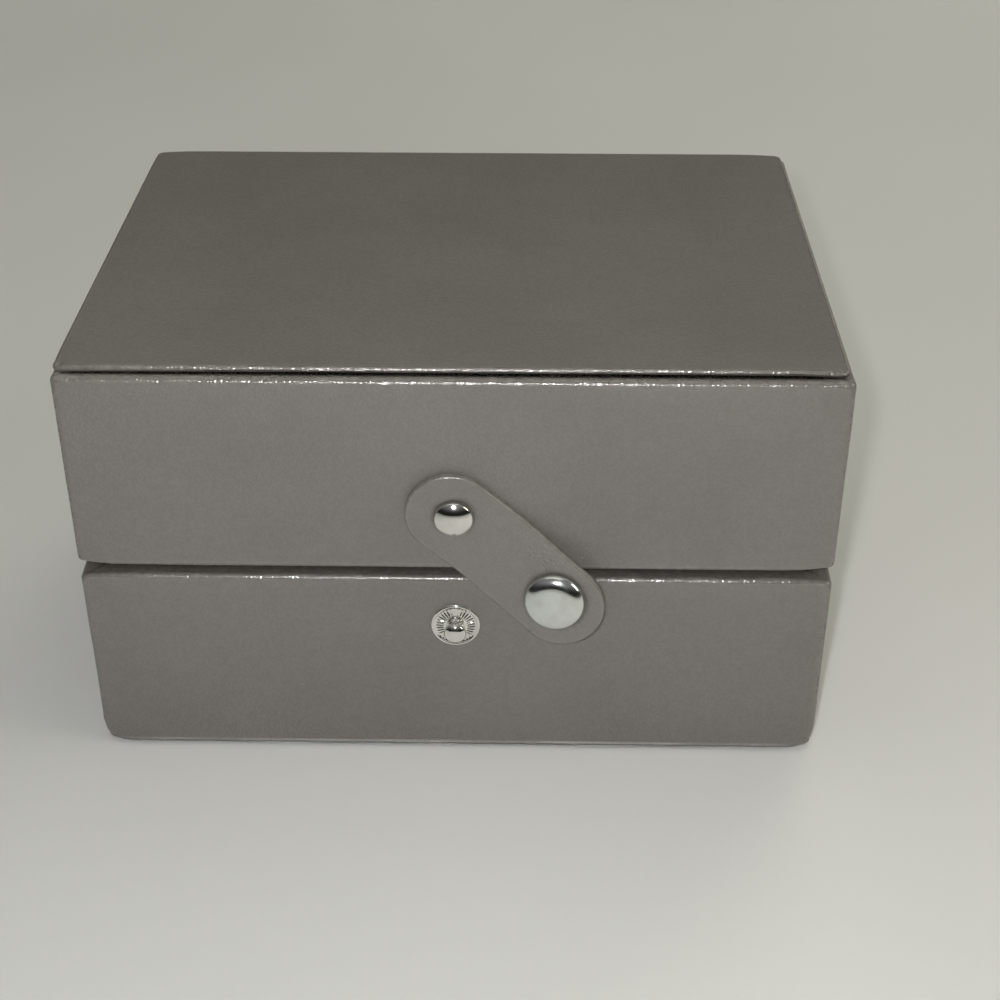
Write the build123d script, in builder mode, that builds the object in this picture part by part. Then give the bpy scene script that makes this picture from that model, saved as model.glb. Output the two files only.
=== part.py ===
from build123d import *
import os
from math import asin, cos, degrees, radians, sin

# Travel jewellery box: two boxes of wrapped board that meet rim to rim, hinged at the back and held at
# the front by a strap that snaps shut. Origin at the middle of the bottom, front towards -Y, +Z up.

# Whole box
box_width = 150.0
box_depth = 112.0
box_height = 90.0
rim_gap = 2.0
overrun = 1.0
fit_clearance = 0.1
running_gap = 0.3

# Wrapped walls: board, imitation leather outside, velvet inside
board_thickness = 4.0
cover_thickness = 1.0
lining_thickness = 1.0
floor_board_thickness = 2.5
corner_radius = 2.2
rim_radius = 1.5
turn_in_width = 9.0
bottom_sheet_thickness = 0.6
bottom_sheet_inset = 2.5
floor_pad_thickness = 1.5

# Thin wrapped panel on top of the lid
panel_thickness = 1.6
panel_skin = 0.6
panel_front_setback = 1.9
panel_back_setback = 0.9
panel_side_setback = 0.7
panel_corner_radius = 1.8
panel_edge_radius = 0.6
ceiling_pad_thickness = 4.0
ceiling_pad_gap = 0.5
ceiling_pad_radius = 3.0

# Wells in the base and the lift-out tray that stands on their dividers
tray_below_rim = 3.4
divider_thickness = 3.0
long_divider_share = 0.44
back_divider_share = 0.58
front_divider_share = 0.36
tray_side_clearance = 1.0
tray_end_clearance = 2.0
tray_height = 22.0
tray_wall = 2.5
tray_floor_thickness = 2.0
tray_divider_thickness = 2.0
tray_divider_height = 16.0
compartment_count = 3
ring_roll_count = 5
ring_roll_width = 9.7
ring_roll_gap = 0.3
ring_roll_height = 15.0
ribbon_width = 12.0
ribbon_thickness = 0.6
ribbon_glued_length = 4.5
ribbon_free_length = 5.0

# Strap with its pivot rivet on the lid, and the snap that it closes with
rivet_above_rim = 13.1
stud_below_rim = 11.4
strap_angle = 48.7
strap_width = 17.8
strap_thickness = 1.6
strap_head_overhang = 9.8
strap_tip_overhang = 10.2
strap_split = 9.5
strap_stand_off = 0.2
socket_clearance = 0.6
rivet_cap_radius = 3.8
rivet_cap_height = 1.8
rivet_cap_edge = 0.5
rivet_shank_radius = 1.5
snap_cap_radius = 6.0
snap_cap_height = 2.1
snap_cap_edge = 0.7
snap_post_radius = 1.6
socket_radius = 5.0
socket_flange = 0.6
socket_body_radius = 4.2
socket_height = 1.8
socket_bore_radius = 2.6
socket_bore_depth = 1.2
spring_wire_radius = 0.25
spring_ring_radius = 2.7
spring_opening = 50.0
stud_flange_radius = 5.0
stud_dish_thickness = 0.5
stud_lip_width = 0.6
stud_lip_height = 0.8
stud_neck_radius = 1.8
stud_ball_radius = 2.25
stud_ball_height = 4.4
stud_ball_edge = 0.6
stud_shank_radius = 1.7
backplate_radius = 4.5
backplate_thickness = 0.8

# Two butt hinges on the back
hinge_end_inset = 33.0
hinge_width = 20.0
leaf_height = 11.0
leaf_thickness = 0.8
leaf_corner_radius = 1.5
knuckle_radius = 2.0
knuckle_stand_off = 0.2
middle_knuckle_share = 0.4
pin_radius = 0.9
screw_spacing = 12.0
screw_drop = 7.5
screw_shank_radius = 0.8
screw_length = 4.2
screw_head_radius = 1.7
screw_head_height = 0.6

# Heights and faces that the pieces share
half_height = (box_height - rim_gap) / 2
lid_bottom = half_height + rim_gap
lid_wall_top = box_height - panel_thickness
front_face = -box_depth / 2
back_face = box_depth / 2
board_half_width = box_width / 2 - cover_thickness
board_half_depth = box_depth / 2 - cover_thickness
lining_half_width = board_half_width - board_thickness
lining_half_depth = board_half_depth - board_thickness
inner_half_width = lining_half_width - lining_thickness
inner_half_depth = lining_half_depth - lining_thickness
base_floor_top = bottom_sheet_thickness + cover_thickness + floor_board_thickness
pad_top = base_floor_top + floor_pad_thickness
tray_bottom = half_height - tray_below_rim
hinge_y = back_face + knuckle_radius + knuckle_stand_off
hinge_z = box_height / 2
hinge_spacing = box_width - 2 * hinge_end_inset
rivet_height = lid_bottom + rivet_above_rim
stud_height = half_height - stud_below_rim

os.makedirs("parts", exist_ok=True)


def save(piece, name):
    """Name a finished piece and write its file."""
    piece.label = name
    export_step(piece, f"parts/{name}.step")


def add_block(low, high, mode=Mode.ADD):
    """A plain block between two corners."""
    middle = [(a + b) / 2 for a, b in zip(low, high)]
    size = [b - a for a, b in zip(low, high)]
    with Locations(tuple(middle)):
        Box(*size, mode=mode)


def block(name, low, high):
    """A piece that is one plain block."""
    with BuildPart() as piece:
        add_block(low, high)
    save(piece.part, name)


# Wrapped walls

def front_plane(x, z):
    """A plane on the front face with its normal towards the viewer."""
    return Plane(origin=(x, front_face, z), x_dir=(1, 0, 0), z_dir=(0, -1, 0))


def hinge_screw_places(height):
    """Where the screws of both hinges enter the back wall at one height."""
    return [
        (side * hinge_spacing / 2 + end * screw_spacing / 2, height)
        for side in (-1, 1)
        for end in (-1, 1)
    ]


def cut_screw_holes(height):
    """Screw holes through the back wall's skin and into its board."""
    back_plane = Plane(origin=(0, back_face, 0), x_dir=(-1, 0, 0), z_dir=(0, 1, 0))
    with BuildSketch(back_plane.offset(overrun)) as holes:
        with Locations(*hinge_screw_places(height)):
            Circle(screw_shank_radius)
    extrude(holes.sketch, amount=-(overrun + screw_length), mode=Mode.SUBTRACT)


def cut_front_hole(height, radius):
    """A hole for a shank through the front wall, with a seat for its backplate on the inner side."""
    with BuildSketch(front_plane(0, height).offset(overrun)) as hole:
        Circle(radius)
    extrude(hole.sketch, amount=-(overrun + cover_thickness + board_thickness), mode=Mode.SUBTRACT)
    with BuildSketch(front_plane(0, height).offset(-cover_thickness - board_thickness)) as seat:
        Circle(backplate_radius)
    extrude(seat.sketch, amount=backplate_thickness, mode=Mode.SUBTRACT)


def wall_boards(half, low, high, front_height, shank_radius, screw_height):
    """The four boards of one half's walls: front and back run the full width."""
    inner_y = board_half_depth - board_thickness
    with BuildPart() as front_board:
        add_block((-board_half_width, -board_half_depth, low), (board_half_width, -inner_y, high))
        cut_front_hole(front_height, shank_radius)
    save(front_board.part, f"{half}_front_board")
    with BuildPart() as back_board:
        add_block((-board_half_width, inner_y, low), (board_half_width, board_half_depth, high))
        cut_screw_holes(screw_height)
    save(back_board.part, f"{half}_back_board")
    inner_x = board_half_width - board_thickness
    block(f"{half}_left_board", (-board_half_width, -inner_y, low), (-inner_x, inner_y, high))
    block(f"{half}_right_board", (inner_x, -inner_y, low), (board_half_width, inner_y, high))


def wall_cover(half, low, high, turn_in, front_height, shank_radius, screw_height):
    """The skin round one half's walls, turned in over the rim and over the far edge of the boards."""
    with BuildPart() as cover:
        with BuildSketch(Plane.XY.offset(low)):
            RectangleRounded(box_width, box_depth, corner_radius)
        extrude(amount=high - low)
        fillet(cover.faces().sort_by(Axis.Z)[-1].edges(), rim_radius)
        fillet(cover.faces().sort_by(Axis.Z)[0].edges(), rim_radius)
        add_block(
            (-board_half_width, -board_half_depth, low + cover_thickness),
            (board_half_width, board_half_depth, high - cover_thickness),
            Mode.SUBTRACT,
        )
        add_block(
            (-lining_half_width, -lining_half_depth, low + cover_thickness),
            (lining_half_width, lining_half_depth, high + overrun),
            Mode.SUBTRACT,
        )
        open_x = box_width / 2 - turn_in
        open_y = box_depth / 2 - turn_in
        add_block(
            (-open_x, -open_y, low - overrun),
            (open_x, open_y, low + cover_thickness + overrun),
            Mode.SUBTRACT,
        )
        with BuildSketch(front_plane(0, front_height).offset(overrun)):
            Circle(shank_radius)
        extrude(amount=-(overrun + cover_thickness), mode=Mode.SUBTRACT)
        cut_screw_holes(screw_height)
    save(cover.part, f"{half}_wall_cover")


def wall_lining(half, low, high):
    """The velvet ring on the inner faces of one half's boards."""
    with BuildPart() as lining:
        add_block(
            (-lining_half_width, -lining_half_depth, low),
            (lining_half_width, lining_half_depth, high),
        )
        add_block(
            (-inner_half_width, -inner_half_depth, low - overrun),
            (inner_half_width, inner_half_depth, high + overrun),
            Mode.SUBTRACT,
        )
    save(lining.part, f"{half}_wall_lining")


# Base

base_screw_height = hinge_z - screw_drop
rim_turn_in = cover_thickness + board_thickness
wall_boards(
    "base", base_floor_top, half_height - cover_thickness,
    stud_height, stud_shank_radius, base_screw_height,
)
wall_cover(
    "base", bottom_sheet_thickness, half_height, turn_in_width,
    stud_height, stud_shank_radius, base_screw_height,
)
# The base lining stands above the rim, and the closed lid rests on it with its own lining
wall_lining("base", base_floor_top, lid_bottom)
block(
    "base_floor_board",
    (-board_half_width, -board_half_depth, bottom_sheet_thickness + cover_thickness),
    (board_half_width, board_half_depth, base_floor_top),
)
# The bottom sheet is pasted over the turned-in edges of the skin, and the box stands on it
block(
    "base_bottom_sheet",
    (-box_width / 2 + bottom_sheet_inset, -box_depth / 2 + bottom_sheet_inset, 0),
    (box_width / 2 - bottom_sheet_inset, box_depth / 2 - bottom_sheet_inset, bottom_sheet_thickness),
)
block(
    "base_floor_pad",
    (-inner_half_width, -inner_half_depth, base_floor_top),
    (inner_half_width, inner_half_depth, pad_top),
)

# Dividers: one along the box, and one across each of the two long wells
long_divider_y = -inner_half_depth + long_divider_share * (2 * inner_half_depth)
back_divider_x = -inner_half_width + back_divider_share * (2 * inner_half_width)
front_divider_x = -inner_half_width + front_divider_share * (2 * inner_half_width)
half_divider = divider_thickness / 2
block(
    "base_long_divider",
    (-inner_half_width, long_divider_y - half_divider, pad_top),
    (inner_half_width, long_divider_y + half_divider, tray_bottom),
)
block(
    "base_back_divider",
    (back_divider_x - half_divider, long_divider_y + half_divider, pad_top),
    (back_divider_x + half_divider, inner_half_depth, tray_bottom),
)
block(
    "base_front_divider",
    (front_divider_x - half_divider, -inner_half_depth, pad_top),
    (front_divider_x + half_divider, long_divider_y - half_divider, tray_bottom),
)


# Lid

lid_screw_height = hinge_z + screw_drop
wall_boards(
    "lid", lid_bottom + cover_thickness, lid_wall_top - cover_thickness,
    rivet_height, rivet_shank_radius, lid_screw_height,
)
wall_cover(
    "lid", lid_bottom, lid_wall_top, rim_turn_in,
    rivet_height, rivet_shank_radius, lid_screw_height,
)
wall_lining("lid", lid_bottom, lid_wall_top)

panel_half_width = box_width / 2 - panel_side_setback
panel_front = front_face + panel_front_setback
panel_back = back_face - panel_back_setback
panel_depth = panel_back - panel_front
panel_middle = (panel_front + panel_back) / 2
block(
    "lid_top_board",
    (-panel_half_width + panel_skin, panel_front + panel_skin, lid_wall_top),
    (panel_half_width - panel_skin, panel_back - panel_skin, box_height - panel_skin),
)
with BuildPart() as top_cover:
    with BuildSketch(Plane.XY.offset(lid_wall_top)):
        with Locations((0, panel_middle)):
            RectangleRounded(2 * panel_half_width, panel_depth, panel_corner_radius)
    extrude(amount=panel_thickness)
    fillet(top_cover.faces().sort_by(Axis.Z)[-1].edges(), panel_edge_radius)
    add_block(
        (-panel_half_width + panel_skin, panel_front + panel_skin, lid_wall_top - overrun),
        (panel_half_width - panel_skin, panel_back - panel_skin, box_height - panel_skin),
        Mode.SUBTRACT,
    )
save(top_cover.part, "lid_top_cover")

with BuildPart() as ceiling_pad:
    add_block(
        (
            -inner_half_width + ceiling_pad_gap,
            -inner_half_depth + ceiling_pad_gap,
            lid_wall_top - ceiling_pad_thickness,
        ),
        (inner_half_width - ceiling_pad_gap, inner_half_depth - ceiling_pad_gap, lid_wall_top),
    )
    fillet(ceiling_pad.faces().sort_by(Axis.Z)[0].edges(), ceiling_pad_radius)
save(ceiling_pad.part, "lid_ceiling_pad")


# Lift-out tray

tray_half_width = inner_half_width - tray_side_clearance
tray_half_depth = inner_half_depth - tray_end_clearance
tray_floor_top = tray_bottom + tray_floor_thickness
tray_top = tray_bottom + tray_height
tray_inner_width = tray_half_width - tray_wall
tray_inner_depth = tray_half_depth - tray_wall
block(
    "tray_floor",
    (-tray_half_width, -tray_half_depth, tray_bottom),
    (tray_half_width, tray_half_depth, tray_floor_top),
)
for wall_name, wall_low, wall_high in (
    ("front", (-tray_half_width, -tray_half_depth), (tray_half_width, -tray_inner_depth)),
    ("back", (-tray_half_width, tray_inner_depth), (tray_half_width, tray_half_depth)),
    ("left", (-tray_half_width, -tray_inner_depth), (-tray_inner_width, tray_inner_depth)),
    ("right", (tray_inner_width, -tray_inner_depth), (tray_half_width, tray_inner_depth)),
):
    block(f"tray_{wall_name}_wall", (*wall_low, tray_floor_top), (*wall_high, tray_top))

# Padded rolls that rings stand between, side by side along the left end
ring_roll_pitch = ring_roll_width + ring_roll_gap
for roll in range(ring_roll_count):
    roll_x = -tray_inner_width + ring_roll_gap + ring_roll_pitch * roll + ring_roll_width / 2
    roll_plane = Plane(origin=(roll_x, -tray_inner_depth, tray_floor_top), x_dir=(1, 0, 0), z_dir=(0, -1, 0))
    with BuildPart() as ring_roll:
        with BuildSketch(roll_plane):
            with BuildLine():
                shoulder = ring_roll_height - ring_roll_width / 2
                foot = Line((-ring_roll_width / 2, 0), (ring_roll_width / 2, 0))
                side = Line(foot @ 1, (ring_roll_width / 2, shoulder))
                crown = ThreePointArc(side @ 1, (0, ring_roll_height), (-ring_roll_width / 2, shoulder))
                Line(crown @ 1, foot @ 0)
            make_face()
        extrude(amount=-2 * tray_inner_depth)
    save(ring_roll.part, f"ring_roll_{roll + 1}")

# Partitions of the small compartments to the right of the rolls
tray_divider_x = -tray_inner_width + ring_roll_gap + ring_roll_pitch * ring_roll_count
tray_divider_top = tray_floor_top + tray_divider_height
block(
    "tray_long_divider",
    (tray_divider_x, -tray_inner_depth, tray_floor_top),
    (tray_divider_x + tray_divider_thickness, tray_inner_depth, tray_divider_top),
)
for gap in range(1, compartment_count):
    cross_y = -tray_inner_depth + 2 * tray_inner_depth * gap / compartment_count
    block(
        f"tray_cross_divider_{gap}",
        (tray_divider_x + tray_divider_thickness, cross_y - tray_divider_thickness / 2, tray_floor_top),
        (tray_inner_width, cross_y + tray_divider_thickness / 2, tray_divider_top),
    )

# Ribbon tabs that lift the tray, glued inside the tops of its end walls
ribbon_low = tray_top - ribbon_glued_length
for side_name, ribbon_outer in (("left", -tray_inner_width), ("right", tray_inner_width)):
    ribbon_inner = ribbon_outer - ribbon_thickness if ribbon_outer > 0 else ribbon_outer + ribbon_thickness
    with BuildPart() as ribbon:
        add_block(
            (min(ribbon_outer, ribbon_inner), -ribbon_width / 2, ribbon_low),
            (max(ribbon_outer, ribbon_inner), ribbon_width / 2, tray_top + ribbon_free_length),
        )
    save(ribbon.part, f"{side_name}_pull_ribbon")


# Strap

# The tongue leans away from the wall just enough for the socket behind it to clear the wall
strap_length = rivet_height - stud_height
snap_reach = strap_length - strap_split
socket_lift = socket_clearance + socket_height - strap_stand_off
strap_tilt = degrees(asin(socket_lift / (snap_reach - socket_body_radius)))
along = (sin(radians(strap_angle)), 0, -cos(radians(strap_angle)))
head_plane = Plane(
    origin=(0, front_face - strap_stand_off, rivet_height), x_dir=along, z_dir=(0, -1, 0)
)
split_point = head_plane.from_local_coords((strap_split, 0, strap_thickness))
tongue_x = head_plane.from_local_coords(
    Vector(cos(radians(strap_tilt)), 0, sin(radians(strap_tilt)))
) - head_plane.origin
tongue_z = head_plane.from_local_coords(
    Vector(-sin(radians(strap_tilt)), 0, cos(radians(strap_tilt)))
) - head_plane.origin
tongue_plane = Plane(origin=split_point, x_dir=tongue_x, z_dir=tongue_z)
snap_plane = Plane(
    origin=tongue_plane.from_local_coords((snap_reach, 0, 0)), x_dir=tongue_x, z_dir=tongue_z
)


def strap_outline(near, far, near_round, far_round):
    """A strip from near to far along the strap, with half-round ends where asked."""
    half = strap_width / 2
    with BuildLine() as outline:
        near_square = near + half if near_round else near
        far_square = far - half if far_round else far
        upper = Line((near_square, half), (far_square, half))
        if far_round:
            end = ThreePointArc(upper @ 1, (far, 0), (far_square, -half))
        else:
            end = Line(upper @ 1, (far_square, -half))
        lower = Line(end @ 1, (near_square, -half))
        if near_round:
            ThreePointArc(lower @ 1, (near, 0), upper @ 0)
        else:
            Line(lower @ 1, upper @ 0)
    make_face(outline.edges())


with BuildPart() as strap_head:
    with BuildSketch(head_plane):
        strap_outline(-strap_head_overhang, strap_split, True, False)
        Circle(rivet_shank_radius + fit_clearance, mode=Mode.SUBTRACT)
    extrude(amount=strap_thickness)
save(strap_head.part, "strap_head")

with BuildPart() as strap_tongue:
    with BuildSketch(tongue_plane.offset(-strap_thickness)):
        strap_outline(0, snap_reach + strap_tip_overhang, False, True)
        with Locations((snap_reach, 0)):
            Circle(snap_post_radius, mode=Mode.SUBTRACT)
    extrude(amount=strap_thickness)
save(strap_tongue.part, "strap_tongue")


# Rivet, snap and stud: all turned pieces, drawn as half sections about their own axis

def half_section_plane(axis_plane):
    """The plane of a half section: its x is the radius and its y runs along the piece's axis."""
    return Plane(origin=axis_plane.origin, x_dir=axis_plane.x_dir, z_dir=-axis_plane.y_dir)


def turn(axis_plane, mode=Mode.ADD):
    """Turn the half section that waits in the part about the piece's axis."""
    revolve(axis=Axis(axis_plane.origin, axis_plane.z_dir), mode=mode)


def dome_section(radius, height, edge):
    """Half section of a domed cap that sits on the axis plane with a short upright edge."""
    with BuildLine() as outline:
        seat = Line((0, 0), (radius, 0))
        rise = Line(seat @ 1, (radius, edge))
        # The dome's sphere has its centre on the axis, below the cap
        bulge = height - edge
        sphere_radius = (radius**2 + bulge**2) / (2 * bulge)
        half_angle = asin(radius / sphere_radius) / 2
        middle = (sphere_radius * sin(half_angle), height - sphere_radius * (1 - cos(half_angle)))
        dome = ThreePointArc(rise @ 1, middle, (0, height))
        Line(dome @ 1, seat @ 0)
    make_face(outline.edges())


rivet_plane = head_plane.offset(strap_thickness + fit_clearance)
rivet_reach = strap_thickness + fit_clearance + strap_stand_off + cover_thickness + board_thickness
with BuildPart() as pivot_rivet:
    with BuildSketch(half_section_plane(rivet_plane)):
        dome_section(rivet_cap_radius, rivet_cap_height, rivet_cap_edge)
        with Locations((rivet_shank_radius / 2, -rivet_reach / 2)):
            Rectangle(rivet_shank_radius, rivet_reach)
    turn(rivet_plane)
save(pivot_rivet.part, "pivot_rivet")


def backplate(name, height, hole_radius):
    """The washer that a shank is spread over, let into the inner side of the front board."""
    plate_plane = front_plane(0, height).offset(-cover_thickness - board_thickness)
    with BuildPart() as plate:
        with BuildSketch(plate_plane):
            Circle(backplate_radius)
            Circle(hole_radius, mode=Mode.SUBTRACT)
        extrude(amount=backplate_thickness)
    save(plate.part, name)


backplate("rivet_backplate", rivet_height, rivet_shank_radius)
backplate("stud_backplate", stud_height, stud_shank_radius)

socket_top = -strap_thickness
socket_floor = socket_top - socket_height
bore_top = socket_floor + socket_bore_depth
with BuildPart() as snap_cap:
    with BuildSketch(half_section_plane(snap_plane)):
        dome_section(snap_cap_radius, snap_cap_height, snap_cap_edge)
        with Locations((snap_post_radius / 2, bore_top / 2)):
            Rectangle(snap_post_radius, -bore_top)
    turn(snap_plane)
save(snap_cap.part, "snap_cap")

groove_radius = spring_ring_radius + spring_wire_radius + fit_clearance
groove_top = bore_top
groove_low = bore_top - 2 * (spring_wire_radius + fit_clearance)
with BuildPart() as snap_socket:
    with BuildSketch(half_section_plane(snap_plane)):
        Polygon(
            (snap_post_radius, socket_top),
            (socket_radius, socket_top),
            (socket_radius, socket_top - socket_flange),
            (socket_body_radius, socket_top - socket_flange),
            (socket_body_radius, socket_floor),
            (socket_bore_radius, socket_floor),
            (socket_bore_radius, groove_low),
            (groove_radius, groove_low),
            (groove_radius, groove_top),
            (snap_post_radius, groove_top),
            align=None,
        )
    turn(snap_plane)
save(snap_socket.part, "snap_socket")

# Sprung wire ring in the socket, cut open so that it can spread over the stud's ball
spring_level = (groove_top + groove_low) / 2
with BuildPart() as snap_spring:
    with BuildSketch(half_section_plane(snap_plane)):
        with Locations((spring_ring_radius, spring_level)):
            Circle(spring_wire_radius)
    revolve(axis=Axis(snap_plane.origin, snap_plane.z_dir), revolution_arc=360 - spring_opening)
save(snap_spring.part, "snap_spring")

stud_plane = front_plane(0, stud_height)
stud_reach = cover_thickness + board_thickness
neck_top = stud_ball_height - stud_ball_radius
with BuildPart() as stud:
    with BuildSketch(half_section_plane(stud_plane)):
        with BuildLine():
            lip_inner = stud_flange_radius - stud_lip_width
            lip_middle = stud_flange_radius - stud_lip_width / 2
            shank = Polyline(
                (0, -stud_reach), (stud_shank_radius, -stud_reach), (stud_shank_radius, 0),
                (stud_flange_radius, 0), (stud_flange_radius, stud_dish_thickness),
            )
            lip = ThreePointArc(shank @ 1, (lip_middle, stud_lip_height), (lip_inner, stud_dish_thickness))
            neck = Polyline(
                lip @ 1, (stud_neck_radius, stud_dish_thickness), (stud_neck_radius, neck_top),
                (stud_ball_radius, neck_top + stud_ball_edge),
                (stud_ball_radius, stud_ball_height - stud_ball_edge),
                (stud_ball_radius - stud_ball_edge, stud_ball_height), (0, stud_ball_height),
            )
            Line(neck @ 1, shank @ 0)
        make_face()
    turn(stud_plane)
save(stud.part, "snap_stud")


# Hinges

middle_length = hinge_width * middle_knuckle_share
end_length = (hinge_width - middle_length) / 2 - fit_clearance
leaf_near = knuckle_radius + running_gap
pin_bore = pin_radius + fit_clearance / 2


def knuckle(centre_x, length, mode=Mode.ADD, radius=knuckle_radius):
    """A round barrel, or a bore, along the hinge axis."""
    barrel_plane = Plane(origin=(centre_x - length / 2, hinge_y, hinge_z), x_dir=(0, 1, 0), z_dir=(1, 0, 0))
    with BuildSketch(barrel_plane) as ring:
        Circle(radius)
    extrude(ring.sketch, amount=length, mode=mode)


def hinge_leaf(name, centre_x, side, spans, screw_height):
    """A leaf on the back face, up (side 1) or down (side -1) from the axis, with its own knuckles."""
    near = hinge_z + side * leaf_near
    far = hinge_z + side * leaf_height
    half = hinge_width / 2
    with BuildPart() as leaf:
        add_block(
            (centre_x - half, back_face, min(near, far)),
            (centre_x + half, back_face + leaf_thickness, max(near, far)),
        )
        far_edges = leaf.edges().filter_by(Axis.Y).sort_by(Axis.Z)
        fillet(far_edges[-2:] if side > 0 else far_edges[:2], leaf_corner_radius)
        for start, length in spans:
            knuckle(start + length / 2, length)
            add_block(
                (start, back_face, min(near, hinge_z)),
                (start + length, back_face + leaf_thickness, max(near, hinge_z)),
            )
        knuckle(centre_x, hinge_width + overrun, Mode.SUBTRACT, pin_bore)
        cut_screw_holes(screw_height)
    save(leaf.part, name)


for side_name, centre_x in (("left", -hinge_spacing / 2), ("right", hinge_spacing / 2)):
    end_spans = [
        (centre_x - hinge_width / 2, end_length),
        (centre_x + hinge_width / 2 - end_length, end_length),
    ]
    hinge_leaf(f"{side_name}_hinge_base_leaf", centre_x, -1, end_spans, base_screw_height)
    middle_span = [(centre_x - middle_length / 2, middle_length)]
    hinge_leaf(f"{side_name}_hinge_lid_leaf", centre_x, 1, middle_span, lid_screw_height)
    with BuildPart() as pin:
        knuckle(centre_x, hinge_width, radius=pin_radius)
    save(pin.part, f"{side_name}_hinge_pin")

for half_name, screw_height in (("base", base_screw_height), ("lid", lid_screw_height)):
    seat_plane = Plane(
        origin=(0, back_face + leaf_thickness, 0), x_dir=(-1, 0, 0), z_dir=(0, 1, 0)
    )
    with BuildPart() as screws:
        with BuildSketch(seat_plane):
            with Locations(*hinge_screw_places(screw_height)):
                Circle(screw_shank_radius)
        extrude(amount=-(leaf_thickness + screw_length))
        with BuildSketch(seat_plane):
            with Locations(*hinge_screw_places(screw_height)):
                Circle(screw_head_radius)
        extrude(amount=screw_head_height)
        fillet(screws.faces().sort_by(Axis.Y)[-4:].edges(), screw_head_height / 2)
    save(screws.part, f"{half_name}_hinge_screws")

print("strap lift axis", tuple(split_point), "across", tuple(-head_plane.y_dir))
print("hinge axis", hinge_y, hinge_z, "snap place", tuple(snap_plane.origin))
stop = degrees(asin((strap_width / 2 + stud_ball_radius + running_gap) / strap_length))
print("strap stops", stop - strap_angle, 360 - strap_angle - stop)
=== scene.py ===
from math import asin, atan2, ceil, cos, exp, hypot, pi, radians, sin, sqrt

import bmesh
import bpy
from mathutils import Matrix, Vector, noise


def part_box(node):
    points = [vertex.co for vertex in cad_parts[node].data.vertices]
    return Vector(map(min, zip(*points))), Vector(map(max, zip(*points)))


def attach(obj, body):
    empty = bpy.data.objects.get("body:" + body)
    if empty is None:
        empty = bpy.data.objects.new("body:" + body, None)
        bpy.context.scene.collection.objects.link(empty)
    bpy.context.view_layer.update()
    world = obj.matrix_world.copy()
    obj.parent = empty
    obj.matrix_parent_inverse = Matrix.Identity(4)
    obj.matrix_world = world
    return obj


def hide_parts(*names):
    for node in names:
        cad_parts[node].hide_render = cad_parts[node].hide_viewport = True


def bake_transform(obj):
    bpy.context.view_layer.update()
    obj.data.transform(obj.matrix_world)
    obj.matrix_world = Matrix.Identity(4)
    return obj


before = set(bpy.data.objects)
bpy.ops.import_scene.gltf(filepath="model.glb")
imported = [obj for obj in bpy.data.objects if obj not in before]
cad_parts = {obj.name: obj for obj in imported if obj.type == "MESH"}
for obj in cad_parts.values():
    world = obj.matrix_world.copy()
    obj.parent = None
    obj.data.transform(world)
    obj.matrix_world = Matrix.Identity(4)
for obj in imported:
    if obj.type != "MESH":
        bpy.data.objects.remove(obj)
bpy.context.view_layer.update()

# Travel jewellery box in taupe leather. Lengths here are millimetres and become metres as a mesh is made;
# only the lights are given in metres. The front looks towards -Y, +Z is up, and the box stands on the
# floor at z = 0.
MM = 0.001

# The CAD's own sizes, which the pieces here follow
HALF_WIDTH = 75.0
HALF_DEPTH = 56.0
FRONT = -HALF_DEPTH
LEATHER_CORNER = 1.4
SKIN = 1.0
WALL = 5.0
BASE_LOW, BASE_RIM = 0.6, 44.0
LID_RIM, LID_TOP = 46.0, 88.4
BASE_FLOOR_TOP = 4.1
BASE_LINING_TOP = 46.0
BOTTOM_TURN_IN = 9.0
RIVET_Z = 59.1
STUD_Z = 32.6
RIVET_CAP_RADIUS = 3.8
SNAP_CAP_RADIUS = 6.0
HINGE_LEAF = 0.8
BASE_SCREWS_Z, LID_SCREWS_Z = 37.5, 52.5
SCREWS_X = (-48, -36, 36, 48)

# The strap's own directions: along it, across it and away from the wall
STRAP_ANGLE = radians(48.7)
ALONG = Vector((sin(STRAP_ANGLE), 0, -cos(STRAP_ANGLE)))
ACROSS = Vector((cos(STRAP_ANGLE), 0, sin(STRAP_ANGLE)))
OUTWARD = Vector((0, -1, 0))
STRAP_HALF = 8.9
STRAP_THICK = 1.6
STRAP_HOLE_RADIUS = 1.6
STRAP_STAND_OFF = 0.2
STRAP_HEAD = -9.8
STRAP_SPLIT = 9.5
SNAP_REACH = 26.5
STRAP_TIP = SNAP_REACH + 10.2
SOCKET_LIFT = 2.2
SOCKET_BODY = 4.2
STRAP_TILT = asin(SOCKET_LIFT / (SNAP_REACH - STRAP_SPLIT - SOCKET_BODY))

# The photograph's place and lens; the camera looks so many degrees down and to the left
CAMERA_PLACE = (13.65, -335.67, 240.8)
CAMERA_DOWN = 32.534
CAMERA_LEFT = 0.965
LENS = 61.9
SENSOR = 36.0

# Half the floor's side
FLOOR_HALF = 1900


# Camera and light

def add_camera():
    """The photograph's view; the picture is square."""
    data = bpy.data.cameras.new("camera")
    data.lens = LENS
    data.sensor_width = SENSOR
    camera = bpy.data.objects.new("camera", data)
    camera.location = Vector(CAMERA_PLACE) * MM
    camera.rotation_euler = (radians(90 - CAMERA_DOWN), 0, radians(CAMERA_LEFT))
    bpy.context.collection.objects.link(camera)
    bpy.context.scene.camera = camera
    bpy.context.scene.view_settings.view_transform = "Standard"


def add_area(name, place, target, colour, size, power, glossy=True, diffuse=True):
    """A soft square light that never shows straight to the camera."""
    data = bpy.data.lights.new(name, "AREA")
    data.shape = "SQUARE"
    data.size = size
    data.energy = power
    data.color = colour
    light = bpy.data.objects.new(name, data)
    light.location = place
    light.rotation_euler = (Vector(target) - Vector(place)).to_track_quat("-Z", "Y").to_euler()
    light.visible_camera = False
    light.visible_glossy = glossy
    light.visible_diffuse = diffuse
    bpy.context.collection.objects.link(light)


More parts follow.
